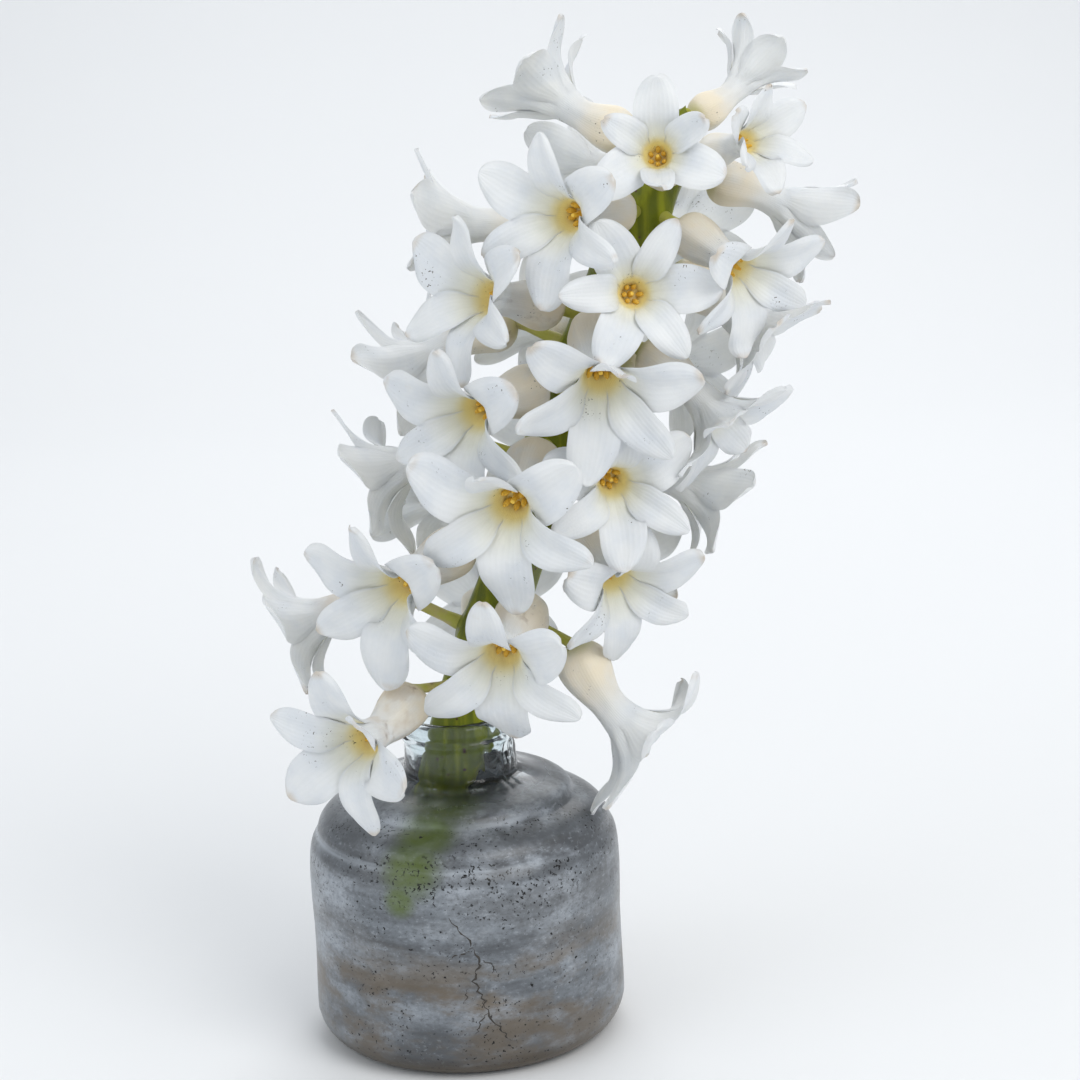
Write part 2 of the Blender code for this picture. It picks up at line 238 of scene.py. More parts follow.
class Board:
    """One material and short ways to lay out its nodes."""

    def __init__(self, name: str) -> None:
        """Starts a material with its Principled shader.

        Args:
            name: The material's name.
        """
        self.material = bpy.data.materials.new(name)
        self.material.use_nodes = True
        self.tree = self.material.node_tree
        self.shader = self.tree.nodes["Principled BSDF"]

    def feed(self, socket: bpy.types.NodeSocket, value: object) -> None:
        """Sets a socket to a number or colour, or links an output to it.

        Args:
            socket: The socket that takes the value.
            value: A number, a colour of three numbers, or another node's output.
        """
        if isinstance(value, bpy.types.NodeSocket):
            self.tree.links.new(value, socket)
        elif isinstance(value, tuple) and len(value) == 3 and socket.type == "RGBA":
            socket.default_value = (*value, 1.0)
        else:
            socket.default_value = value

    def set(self, **values: object) -> None:
        """Sets the shader's sockets; an underscore in a name stands for a space."""
        for title, value in values.items():
            self.feed(self.shader.inputs[title.replace("_", " ")], value)

    def read(self, title: str) -> bpy.types.NodeSocket:
        """A number that the mesh holds at each point.

        Args:
            title: The name the mesh keeps it under.

        Returns:
            The output that gives the number.
        """
        node = self.tree.nodes.new("ShaderNodeAttribute")
        node.attribute_name = title
        return node.outputs["Fac"]

    def place(self, scale: tuple = (1, 1, 1)) -> bpy.types.NodeSocket:
        """The place on the object, stretched by a scale.

        Args:
            scale: How much each axis is stretched.

        Returns:
            The output that gives the place.
        """
        node = self.tree.nodes.new("ShaderNodeTexCoord")
        stretch = self.tree.nodes.new("ShaderNodeMapping")
        stretch.inputs["Scale"].default_value = scale
        self.tree.links.new(node.outputs["Object"], stretch.inputs["Vector"])
        return stretch.outputs["Vector"]

    def height(self) -> bpy.types.NodeSocket:
        """The height above the foot.

        Returns:
            The output that gives the height in metres.
        """
        node = self.tree.nodes.new("ShaderNodeSeparateXYZ")
        self.feed(node.inputs[0], self.place())
        return node.outputs["Z"]

    def mottle(
        self, size: float, detail: float = 3, stretch: tuple = (1, 1, 1), rough: float = 0.5
    ) -> bpy.types.NodeSocket:
        """Soft noise from 0 to 1.

        Args:
            size: The size of its patches in metres.
            detail: How many finer layers lie on it.
            stretch: How much each axis is stretched.
            rough: How strong the finer layers are.

        Returns:
            The output that gives the noise.
        """
        node = self.tree.nodes.new("ShaderNodeTexNoise")
        node.inputs["Scale"].default_value = 1 / size
        node.inputs["Detail"].default_value = detail
        node.inputs["Roughness"].default_value = rough
        self.feed(node.inputs["Vector"], self.place(stretch))
        return node.outputs["Fac"]

    def cells(self, size: float, stretch: tuple = (1, 1, 1)) -> bpy.types.NodeSocket:
        """Distance to the nearest of many scattered points.

        Args:
            size: How far apart the points are in metres.
            stretch: How much each axis is stretched.

        Returns:
            The output that gives the distance, as a share of the size.
        """
        node = self.tree.nodes.new("ShaderNodeTexVoronoi")
        node.inputs["Scale"].default_value = 1 / size
        self.feed(node.inputs["Vector"], self.place(stretch))
        return node.outputs["Distance"]

    def span(
        self, value: object, low: float, high: float, to_low: float = 0, to_high: float = 1
    ) -> bpy.types.NodeSocket:
        """Maps a value from one range to another, smoothly, and holds it within that.

        Args:
            value: The value to map.
            low: Where the first range starts.
            high: Where the first range ends.
            to_low: What the start becomes.
            to_high: What the end becomes.

        Returns:
            The output that gives the mapped value.
        """
        node = self.tree.nodes.new("ShaderNodeMapRange")
        node.interpolation_type = "SMOOTHSTEP"
        numbers = (value, low, high, to_low, to_high)
        for title, number in zip(("Value", "From Min", "From Max", "To Min", "To Max"), numbers):
            self.feed(node.inputs[title], number)
        return node.outputs["Result"]

    def sum(self, how: str, a: object, b: object) -> bpy.types.NodeSocket:
        """One step of arithmetic.

        Args:
            how: What to do, such as MULTIPLY or ADD.
            a: The first value.
            b: The second value, which SINE and ABSOLUTE leave out.

        Returns:
            The output that gives the answer.
        """
        node = self.tree.nodes.new("ShaderNodeMath")
        node.operation = how
        self.feed(node.inputs[0], a)
        self.feed(node.inputs[1], b)
        return node.outputs[0]

    def times(self, a: object, b: object) -> bpy.types.NodeSocket:
        """One value times another."""
        return self.sum("MULTIPLY", a, b)

    def apart(self, value: object, centre: float) -> bpy.types.NodeSocket:
        """How far a value is from a centre, above or below it."""
        return self.sum("ABSOLUTE", self.sum("SUBTRACT", value, centre), 0)

    def blend(self, share: object, low: object, high: object) -> bpy.types.NodeSocket:
        """A colour between two colours.

        Args:
            share: 0 gives the first colour, and 1 gives the second.
            low: The first colour.
            high: The second colour.

        Returns:
            The output that gives the colour.
        """
        node = self.tree.nodes.new("ShaderNodeMix")
        node.data_type = "RGBA"
        self.feed(node.inputs["Factor"], share)
        colours_in = [socket for socket in node.inputs if socket.type == "RGBA"]
        self.feed(colours_in[0], low)
        self.feed(colours_in[1], high)
        return next(socket for socket in node.outputs if socket.type == "RGBA")

    def bump(self, height: object, depth: float, strength: float = 1.0) -> None:
        """Raises the surface by a height pattern.

        Args:
            height: The pattern, from 0 to 1.
            depth: How high 1 stands, in metres.
            strength: How much of the pattern is felt.
        """
        node = self.tree.nodes.new("ShaderNodeBump")
        node.inputs["Strength"].default_value = strength
        node.inputs["Distance"].default_value = depth
        self.feed(node.inputs["Height"], height)
        self.feed(self.shader.inputs["Normal"], node.outputs["Normal"])


@dataclass(frozen=True)
class TepalFinish:
    """Waxy white tepals, a cream tube, a yellow throat that is partly its own colour and partly
    painted glow of light through the thin tepals, and a green short stalk.
    """

    white: tuple = (0.75, 0.765, 0.77)
    cool: tuple = (0.66, 0.69, 0.725)
    vein: tuple = (0.58, 0.61, 0.60)
    cream: tuple = (0.80, 0.70, 0.52)
    butter_and_glow: tuple = (0.84, 0.80, 0.54)
    throat: tuple = (0.90, 0.74, 0.26)
    green: tuple = (0.42, 0.41, 0.07)
    stain: tuple = (0.62, 0.55, 0.44)
    tan: tuple = (0.50, 0.38, 0.24)
    brown: tuple = (0.16, 0.09, 0.04)
    speck: tuple = (0.05, 0.035, 0.02)

    def material(self) -> bpy.types.Material:
        """Builds the tepals' material.

        Returns:
            The material, which reads along, across and inside from the mesh.
        """
        board = Board("Tepal white")
        along, across, inside = board.read("along"), board.read("across"), board.read("inside")
        patch = board.mottle(8 * MM)
        colour = board.blend(board.span(patch, 0.35, 0.7), self.white, self.cool)
        veins = board.sum("SINE", board.times(across, 30.0), 0.0)
        fade = board.times(board.span(veins, -0.2, 1.0), board.span(along, 0.9, 1.9, 0.13, 0.04))
        colour = board.blend(fade, colour, self.vein)
        belly = board.times(board.span(along, 1.0, 0.3), board.span(inside, 1.0, 0.0))
        patchy = board.times(belly, board.span(board.mottle(9 * MM), 0.25, 0.6, 0.3, 0.85))
        colour = board.blend(patchy, colour, self.cream)
        # Warm yellow towards the throat: partly the tepals' own colour, partly painted glow of
        # light shining through the thin tepals and tube.
        warm_glow = board.times(board.span(along, 1.5, 1.0), inside)
        colour = board.blend(board.times(warm_glow, 0.5), colour, self.butter_and_glow)
        throat_glow = board.times(board.span(along, 1.14, 0.92), inside)
        colour = board.blend(board.times(throat_glow, 0.8), colour, self.throat)
        colour = board.blend(board.span(along, 0.12, -0.08), colour, self.green)
        dots = board.span(board.mottle(0.55 * MM, 2), 0.65, 0.70)
        where = board.span(board.mottle(8 * MM, 2), 0.60, 0.68)
        marks = board.times(dots, where)
        stain = board.span(board.mottle(15 * MM, 4, (1, 1, 1), 0.65), 0.64, 0.78, 0, 0.35)
        colour = board.blend(stain, colour, self.stain)
        tips = board.times(board.span(along, 1.88, 2.0), board.span(patch, 0.45, 0.6, 0, 0.6))
        colour = board.blend(tips, colour, self.tan)
        streaks = board.span(board.mottle(4 * MM, 5, (1, 1, 1), 0.6), 0.56, 0.70, 0, 0.8)
        old = board.times(board.span(board.mottle(6 * MM, 3), 0.42, 0.6), board.read("age"))
        old = board.times(old, board.span(along, 1.15, 0.8))
        colour = board.blend(board.times(old, 0.45), colour, self.tan)
        colour = board.blend(board.times(old, streaks), colour, self.brown)
        marks = board.times(marks, board.span(along, 0.1, 0.4))
        colour = board.blend(marks, colour, self.speck)
        board.set(Base_Color=colour, Roughness=board.span(patch, 0.3, 0.7, 0.46, 0.6))
        board.set(Subsurface_Weight=0.3, Subsurface_Scale=2.2 * MM)
        board.set(Subsurface_Radius=(1.0, 0.97, 0.88))
        board.set(Sheen_Weight=0.05, Specular_IOR_Level=0.35)
        grain = board.sum("ADD", board.times(veins, 0.32), board.mottle(0.5 * MM, 2))
        board.bump(grain, 0.1 * MM, 0.45)
        return board.material


@dataclass(frozen=True)
class StalkFinish:
    """A fleshy olive stalk with long pale streaks and small brown scars."""

    olive: tuple = (0.14, 0.165, 0.003)
    pale: tuple = (0.38, 0.40, 0.015)
    dark: tuple = (0.05, 0.062, 0.003)
    scar: tuple = (0.09, 0.05, 0.02)

    def material(self) -> bpy.types.Material:
        """Builds the stalk's material.

        Returns:
            The material, whose streaks run up the stalk.
        """
        board = Board("Stalk green")
        streak = board.mottle(2.2 * MM, 3, (1, 1, 0.07))
        colour = board.blend(board.span(streak, 0.44, 0.74, 0, 0.75), self.olive, self.pale)
        shade = board.span(board.mottle(11 * MM), 0.5, 0.75, 0, 0.6)
        colour = board.blend(shade, colour, self.dark)
        dots = board.span(board.cells(3.2 * MM), 0.14, 0.08)
        colour = board.blend(dots, colour, self.scar)
        board.set(Base_Color=colour, Roughness=board.span(streak, 0.3, 0.7, 0.32, 0.46))
        board.set(Subsurface_Weight=0.1, Subsurface_Scale=1.2 * MM)
        board.set(Subsurface_Radius=(0.8, 1.0, 0.3))
        board.set(Specular_IOR_Level=0.3)
        board.bump(board.sum("ADD", streak, board.mottle(0.4 * MM, 2)), 0.15 * MM, 0.6)
        return board.material


@dataclass(frozen=True)
class AntherFinish:
    """Golden pollen sacs that darken to brown at their tips."""

    gold: tuple = (0.93, 0.62, 0.10)
    brown: tuple = (0.60, 0.31, 0.03)

    def material(self) -> bpy.types.Material:
        """Builds the anthers' material.

        Returns:
            The material, which reads along from the mesh.
        """
        board = Board("Anther gold")
        grain = board.mottle(0.35 * MM, 3)
        tip = board.span(board.read("along"), 0.75, 1.0, 0, 0.8)
        tip = board.times(tip, board.span(grain, 0.3, 0.6))
        colour = board.blend(tip, self.gold, self.brown)
        board.set(Base_Color=colour, Roughness=0.75)
        board.bump(grain, 0.1 * MM)
        return board.material


@dataclass(frozen=True)
class GlassFinish:
    """Old glass: clear in the neck, and under a cloudy grey-blue film over the body. The film
    carries a painted view of the stalk's green on its front, and painted highlight lines with
    painted shade below them at the shoulder rings.
    """

    tint: tuple = (0.84, 0.90, 0.92)
    film: tuple = (0.215, 0.238, 0.265)
    pale: tuple = (0.37, 0.405, 0.45)
    dark: tuple = (0.095, 0.103, 0.113)
    earth: tuple = (0.15, 0.115, 0.075)
    mud: tuple = (0.065, 0.045, 0.022)
    painted_stalk_green: tuple = (0.095, 0.14, 0.012)
    chalk_and_highlight: tuple = (0.46, 0.50, 0.55)
    speck: tuple = (0.008, 0.008, 0.008)
    painted_stalk_spots: tuple = (
        ((-3, -17, 58), 11), ((-7, -25, 54), 9), ((-10, -29, 48), 9), ((-13, -31, 42), 5),
    )
    rings: tuple = (55.4, 48.6)

    def green(self, board: Board) -> bpy.types.NodeSocket:
        """How much painted stalk green lies on the film, a painted view of the stalk that stands
        behind the front wall.

        Args:
            board: The board of the glass.

        Returns:
            The output that gives the share, from 0 to 1.
        """
        total = 0.0
        for place, reach in self.painted_stalk_spots:
            node = board.tree.nodes.new("ShaderNodeVectorMath")
            node.operation = "DISTANCE"
            board.feed(node.inputs[0], board.place())
            node.inputs[1].default_value = [x * MM for x in place]
            near = board.span(node.outputs["Value"], reach * MM, reach * 0.35 * MM)
            total = board.sum("MAXIMUM", near, total)
        return total

    def material(self) -> bpy.types.Material:
        """Builds the bottle's material.

        Returns:
            One Principled shader whose film covers more of the glass lower down.
        """
        board = Board("Bottle glass")
        height = board.height()
        waves = board.mottle(30 * MM, 4, (0.3, 0.3, 4.0), 0.6)
        cloud = board.mottle(16 * MM, 8, (0.8, 0.8, 1.5), 0.68)
        fine = board.mottle(1.3 * MM, 5, (1, 1, 1.5), 0.7)
        colour = board.blend(board.span(waves, 0.36, 0.64), self.dark, self.film)
        colour = board.blend(board.span(cloud, 0.42, 0.72), colour, self.pale)
        colour = board.blend(board.span(fine, 0.48, 0.72, 0, 0.75), colour, self.dark)
        colour = board.blend(board.span(fine, 0.46, 0.28, 0, 0.5), colour, self.chalk_and_highlight)
        rust = board.span(board.mottle(21 * MM, 7, (0.7, 0.7, 1.7), 0.68), 0.43, 0.62, 0, 0.9)
        low = board.span(height, 38 * MM, 18 * MM, 0.1, 1)
        colour = board.blend(board.times(rust, low), colour, self.earth)
        colour = board.blend(board.span(height, 30 * MM, 4 * MM, 0, 0.35), colour, self.dark)
        colour = board.blend(board.span(height, 7 * MM, 2 * MM, 0, 0.9), colour, self.mud)
        # Painted highlight: a pale line at each shoulder ring's height, with a band of painted
        # shade just below it.
        for ring in self.rings:
            line = board.span(board.apart(height, ring * MM), 1.3 * MM, 0.1 * MM)
            line = board.times(line, board.span(waves, 0.36, 0.52))
            colour = board.blend(board.times(line, 0.7), colour, self.chalk_and_highlight)
            under = board.span(board.apart(height, (ring - 2.4) * MM), 1.6 * MM, 0)
            colour = board.blend(board.times(under, 0.6), colour, self.dark)
        # Painted view of the stalk: its green is painted onto the film where the stalk stands
        # behind the glass.
        green = board.times(self.green(board), board.span(cloud, 0.25, 0.62, 1, 0.55))
        colour = board.blend(green, colour, self.painted_stalk_green)
        belt = board.span(board.mottle(12 * MM, 3, (1, 1, 1.8)), 0.40, 0.55)
        edge = board.span(board.apart(height, 47 * MM), 14 * MM, 2 * MM, 0, 0.042)
        grit = board.sum("ADD", board.mottle(0.8 * MM, 3, (1, 1, 1), 0.6), edge)
        dots = board.span(grit, 0.625, 0.665)
        flecks = board.span(board.mottle(1.9 * MM, 3, (1, 1, 1.5), 0.65), 0.675, 0.71)
        spots = board.sum("MAXIMUM", board.times(dots, belt), flecks)
        spots = board.times(spots, board.span(height, 60 * MM, 54 * MM))
        film = board.span(height, 62 * MM, 44 * MM, 0.58, 0.84)
        film = board.sum("ADD", film, board.span(cloud, 0.35, 0.7, -0.12, 0.10))
        film = board.times(film, board.span(height, 61 * MM, 57.5 * MM, 0.02, 1.0))
        film = board.sum("MAXIMUM", film, spots)
        film = board.times(film, board.span(board.read("inside"), 0, 1, 1, 0))
        colour = board.blend(spots, colour, self.speck)
        colour = board.blend(board.span(film, 0.0, 0.2), self.tint, colour)
        board.set(Base_Color=colour, IOR=1.36)
        board.set(Transmission_Weight=board.span(film, 0.0, 1.0, 1.0, 0.0))
        board.set(Roughness=board.span(film, 0.02, 0.5, 0.02, 0.3))
        board.set(Coat_Weight=0.05, Coat_Roughness=0.1)
        board.bump(board.mottle(8 * MM, 2, (1, 1, 2.5)), 0.3 * MM, 0.5)
        return board.material


@dataclass(frozen=True)
class WaterFinish:
    """Clear still water."""

    clear: tuple = (0.93, 0.97, 0.97)
    green: tuple = (0.88, 0.95, 0.94)

    def material(self) -> bpy.types.Material:
        """Builds the water's material.

        Returns:
            The material, with a faint ripple.
        """
        board = Board("Water clear")
        ripple = board.mottle(12 * MM, 2)
        board.set(Base_Color=board.blend(ripple, self.clear, self.green))
        board.set(Transmission_Weight=1.0, IOR=1.33, Roughness=0.02)
        board.bump(ripple, 0.1 * MM, 0.3)
        return board.material


@dataclass(frozen=True)
class CrackFinish:
    """A dark, dried root-like line."""

    dark: tuple = (0.02, 0.02, 0.018)
    worn: tuple = (0.07, 0.06, 0.05)

    def material(self) -> bpy.types.Material:
        """Builds the crack's material.

        Returns:
            The material, which is dull and grained.
        """
        board = Board("Crack dark")
        grain = board.mottle(1.2 * MM, 3)
        board.set(Base_Color=board.blend(grain, self.dark, self.worn), Roughness=0.8)
        board.bump(grain, 0.1 * MM)
        return board.material


# ---------------------------------------------------------------- the bottle


@dataclass
class Bottle:
    """The round-shouldered bottle with its ringed neck."""

    body_radius: float = 35.0 * MM
    foot_radius: float = 27.0 * MM
    neck_radius: float = 12.8 * MM
    bore_radius: float = 10.6 * MM
    height: float = 74.5 * MM
    glass: float = 2.6 * MM
    base: float = 6.0 * MM
    floor_bend: float = 6.0 * MM
    floor_steps: int = 6
    heel_steps: int = 8
    columns: int = 144
    uneven: float = 0.22 * MM
    lump: float = 0.75 * MM
    crack_width: float = 0.3
    twig_width: float = 0.16
    crack_sunk: float = 0.08 * MM
    finish: GlassFinish = field(default_factory=GlassFinish)

    def outer(self) -> list[tuple]:
        """The outer profile, from the lip to the middle of the foot.

        Returns:
            The radius and the height of each point.
        """
        lip = [(-1.6, 0.0), (-0.8, 0.0), (0.1, -0.5), (0.4, -1.6), (0.3, -2.8), (-0.3, -3.5),
               (-0.4, -4.1), (0.0, -4.7), (-0.1, -5.6), (-0.5, -6.4), (-0.5, -8.5), (-0.3, -11.4)]
        shoulder = [(12.9, 61.4), (14.6, 60.6), (17.5, 59.5), (20.5, 58.7), (22.6, 58.1),
                    (24.2, 57.2), (24.9, 56.0), (25.3, 55.1), (26.6, 54.6), (28.8, 53.7),
                    (30.8, 52.4), (32.2, 50.7), (32.8, 49.0), (33.3, 47.8), (34.2, 46.2),
                    (34.8, 43.4), (35.0, 38.0), (34.7, 27.0), (34.9, 15.0), (35.0, 8.0)]
        heel_radius = self.body_radius - self.foot_radius
        heel = []
        for k in range(1, self.heel_steps + 1):
            turn = math.radians(90 * k / self.heel_steps)
            radius = self.foot_radius + heel_radius * math.cos(turn)
            heel.append((radius, heel_radius * (1 - math.sin(turn))))
        foot = [(self.foot_radius * share, 0.0) for share in (0.97, 0.8, 0.5, 0.2)]
        return [
            *[(self.neck_radius + r * MM, self.height + z * MM) for r, z in lip],
            *[(r * MM, z * MM) for r, z in shoulder], *heel, *foot,
        ]

    def inner(self) -> list[tuple]:
        """The inner profile, from the middle of the floor up to the lip.

        Returns:
            The radius and the height of each point.
        """
        wall = self.body_radius - self.glass
        bend = self.floor_bend
        floor = [(wall * share, self.base) for share in (0.2, 0.5, 0.7)]
        for k in range(self.floor_steps + 1):
            turn = math.radians(90 * k / self.floor_steps)
            radius = wall - bend + bend * math.sin(turn)
            floor.append((radius, self.base + bend * (1 - math.cos(turn))))
        shoulder = [(32.4, 20.0), (32.4, 32.0), (32.3, 42.0), (31.3, 46.0), (28.5, 49.4),
                    (23.6, 52.8), (18.0, 55.1), (13.0, 56.9), (11.0, 58.6)]
        bore = [(self.bore_radius, z * MM) for z in (61.0, 65.0, 69.0, 72.0, 73.4)]
        return [*floor, *[(r * MM, z * MM) for r, z in shoulder], *bore]

    def finer(self, profile: list[tuple], steps: int) -> list[tuple]:
        """The profile with more points between its own, on smooth curves.

        Args:
            profile: The radius and the height of each point.
            steps: How many points take the place of one.

        Returns:
            The finer profile.
        """
        knots = [(k, *point) for k, point in enumerate(profile)]
        count = (len(profile) - 1) * steps
        return [tuple(flowing(knots, k / steps)) for k in range(count + 1)]

    def wobble(self, angle: float, z: float, outside: bool) -> float:
        """How far hand-made glass stands off its true radius at a place.

        Args:
            angle: The angle round the axis, from +X.
            z: The height.
            outside: True on the outer face, where the neck is lumpy on its right.

        Returns:
            The distance in metres, which is below 0 where the glass stands in.
        """
        place = Vector((math.cos(angle) * 1.6, math.sin(angle) * 1.6, z / (13 * MM)))
        off = noise.noise(place) * self.uneven
        if not outside:
            return off
        on_foot = smooth(z / (6 * MM))
        to_right = smooth((math.cos(angle) + 0.2) / 1.1) * smooth((z - 60 * MM) / (4 * MM))
        lumps = noise.noise(Vector((math.cos(angle) * 6, math.sin(angle) * 6, z / (2.6 * MM))))
        return (off + lumps * to_right * self.lump) * on_foot

    def glass_piece(self) -> bpy.types.Object:
        """Builds the glass as one closed skin, inside and out.

        Returns:
            The bottle's object.
        """
        skin = Skin()
        profile = [(p, False) for p in self.finer(self.inner(), 2)]
        profile += [(p, True) for p in self.finer(self.outer(), 2)]
        floor = skin.row([(0, 0, self.base)], 0)[0]
        ring = None
        for (radius, z), outside in profile:
            places = []
            for k in range(self.columns):
                angle = 2 * math.pi * k / self.columns
                r = radius + self.wobble(angle, z, outside)
                places.append((r * math.cos(angle), r * math.sin(angle), z))
            new = skin.row(places, z / self.height, None, 0 if outside else 1)
            if ring is None:
                skin.fan(new, floor)
            else:
                skin.bridge(ring, new, flip=True)
            ring = new
        skin.fan(ring, skin.row([(0, 0, 0)], 0)[0], flip=True)
        made = skin.piece("bottle_glass", self.finish.material())
        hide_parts("bottle")
        return made

    def radius_at(self, z: float) -> float:
        """The outer radius of the glass at a height, below the shoulder.

        Args:
            z: The height.

        Returns:
            The radius.
        """
        profile = [p for p in self.outer() if p[0] > self.foot_radius]
        profile.sort(key=lambda p: p[1])
        return float(np.interp(z, [p[1] for p in profile], [p[0] for p in profile]))

    def crack_piece(self) -> bpy.types.Object:
        """Builds the branched dark line that runs down the front of the body.

        Returns:
            The crack's object.
        """
        skin = Skin()
        trunk = [(-0.12, 40), (-0.02, 36), (0.05, 32), (0.09, 29), (0.07, 26.5), (0.05, 24),
                 (0.10, 20), (0.13, 16.5), (0.19, 13), (0.25, 10), (0.28, 7)]
        twigs = [
            [(0.05, 32), (0.0, 30.5), (-0.06, 30.0), (-0.10, 28.6)],
            [(0.05, 24), (0.0, 21.5), (-0.01, 19.0)],
            [(0.13, 16.5), (0.07, 14.0), (0.05, 12.0)],
            [(0.09, 29), (0.16, 27.5), (0.2, 25.0)],
        ]
        dice = random.Random(11)
        finer = 5
        for line, width in [(trunk, self.crack_width), *[(t, self.twig_width) for t in twigs]]:
            knots = [(k, *point) for k, point in enumerate(line)]
            count = (len(line) - 1) * finer
            path, radii = [], []
            for k in range(count + 1):
                turn, z = flowing(knots, k / finer)
                turn += dice.uniform(-0.014, 0.014)
                off = self.wobble(turn - math.pi / 2, z * MM, True) - self.crack_sunk
                radius = self.radius_at(z * MM) + off
                path.append((radius * math.sin(turn), -radius * math.cos(turn), z * MM))
                taper = 0.35 + 0.65 * math.sin(math.pi * (k + 1) / (count + 2))
                radii.append(width * MM * taper * dice.uniform(0.3, 1.3))
            skin.tube(path, radii, 6)
        return skin.piece("bottle_crack", CrackFinish().material())


# ---------------------------------------------------------------- the stalk


@dataclass
class Stalk:
    """The leaning flower stalk, from its cut end in the water to its tip."""

    line: tuple = (
        (-12, 30.5), (-5.5, 50.5), (0.5, 69.5), (7, 89.5), (15, 109.5),
        (23.5, 133.5), (32, 153.5), (41, 173.5), (50, 193.5), (55, 205.5),
    )
    taper: tuple = (1.05, 1.15, 1.2, 1.15, 1.05, 1.0, 1.0, 1.05, 0.85, 0.4)
    radius: float = 6.0 * MM
    ribs: int = 7
    rib_depth: float = 0.022
    slack: float = 0.985
    swelling: float = 0.9 * MM
    swelling_length: float = 2.6 * MM
    swelling_turn: float = 0.42
    sides: int = 42
    step: float = 1.6 * MM

    def lengths(self) -> list[float]:
        """Distance along the stalk of each point of its line.

        Returns:
            The distances in metres, from 0 at the cut end.
        """
        made = [0.0]
        for (x0, z0), (x1, z1) in zip(self.line, self.line[1:]):
            made.append(made[-1] + math.hypot(x1 - x0, z1 - z0) * MM)
        return made

    def at(self, distance: float) -> tuple[Vector, Vector, float]:
        """Where the stalk is at a distance from its cut end.

        Args:
            distance: Distance along the stalk.

        Returns:
            The point, the direction and the radius there.
        """
        lengths = self.lengths()
        k = max(i for i in range(len(lengths) - 1) if lengths[i] <= distance or i == 0)
        share = min(1.0, (distance - lengths[k]) / (lengths[k + 1] - lengths[k]))
        (x0, z0), (x1, z1) = self.line[k], self.line[k + 1]
        point = Vector((x0 + (x1 - x0) * share, 0, z0 + (z1 - z0) * share)) * MM
        direction = Vector((x1 - x0, 0, z1 - z0)).normalized()
        width = self.taper[k] + (self.taper[k + 1] - self.taper[k]) * share
        return point, direction, self.radius * width

    def stalk_piece(self, florets: list) -> bpy.types.Object:
        """Builds the ribbed stalk with a swelling under each floret.

        Args:
            florets: The floret plans, which say where the swellings are.

        Returns:
            The stalk's object.
        """
        skin = Skin()
        lengths = self.lengths()
        knots = [(s, x * MM, z * MM, w) for s, (x, z), w in zip(lengths, self.line, self.taper)]
        count = int(lengths[-1] / self.step)
        ring = None
        for k in range(count + 1):
            distance = lengths[-1] * k / count
            x, z, width = flowing(knots, distance)
            ahead = flowing(knots, min(distance + 1 * MM, lengths[-1]))
            behind = flowing(knots, max(distance - 1 * MM, 0))
            along = Vector((ahead[0] - behind[0], 0, ahead[1] - behind[1])).normalized()
            side = square_to(Vector((1, 0, 0)), along)
            front = square_to(Vector((0, -1, 0)), along)
            end = min(1.0, (lengths[-1] - distance) / (3 * MM))
            rounded = math.sqrt(max(0.04, 1 - (1 - end) ** 2))
            places = []
            for j in range(self.sides):
                turn = 2 * math.pi * j / self.sides
                swell = 0.0
                for plan in florets:
                    gap = (distance - plan.station * MM) / self.swelling_length
                    if abs(gap) < 3:
                        apart = math.remainder(turn - math.radians(plan.turn), 2 * math.pi)
                        apart /= self.swelling_turn
                        swell += self.swelling * math.exp(-gap * gap - apart * apart)
                rib = 1 + self.rib_depth * math.cos(self.ribs * turn + distance / (30 * MM))
                radius = self.radius * width * rib * rounded * self.slack + swell
                offset = (side * math.sin(turn) + front * math.cos(turn)) * radius
                places.append(Vector((x, 0, z)) + offset)
            new = skin.row(places, k / count)
            if ring is None:
                skin.fan(new, skin.row([Vector((x, 0, z))], 0)[0])
            else:
                skin.bridge(ring, new, flip=True)
            ring = new
        skin.fan(ring, skin.row([Vector((x, 0, z)) + along * 0.8 * MM], 1)[0], flip=True)
        made = skin.piece("stalk_stem", StalkFinish().material())
        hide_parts("stalk")
        return made


# ---------------------------------------------------------------- the florets


@dataclass(frozen=True)
class FloretPlan:
    """Where one floret stands and how it opens.

    Station is mm along the stalk from its cut end, and turn is degrees round the stalk from its
    front. Reach is mm from the stalk's axis to the floret's base. The tube sets off along leave
    and its mouth looks along face, both as heading and rise in degrees. Spin turns the floret on
    its axis, size is its share of full size, and curls say how far each tepal turns back.
    """

    name: str
    station: float
    turn: float
    reach: float
    leave: tuple
    face: tuple
    spin: float
    size: float
    curls: tuple


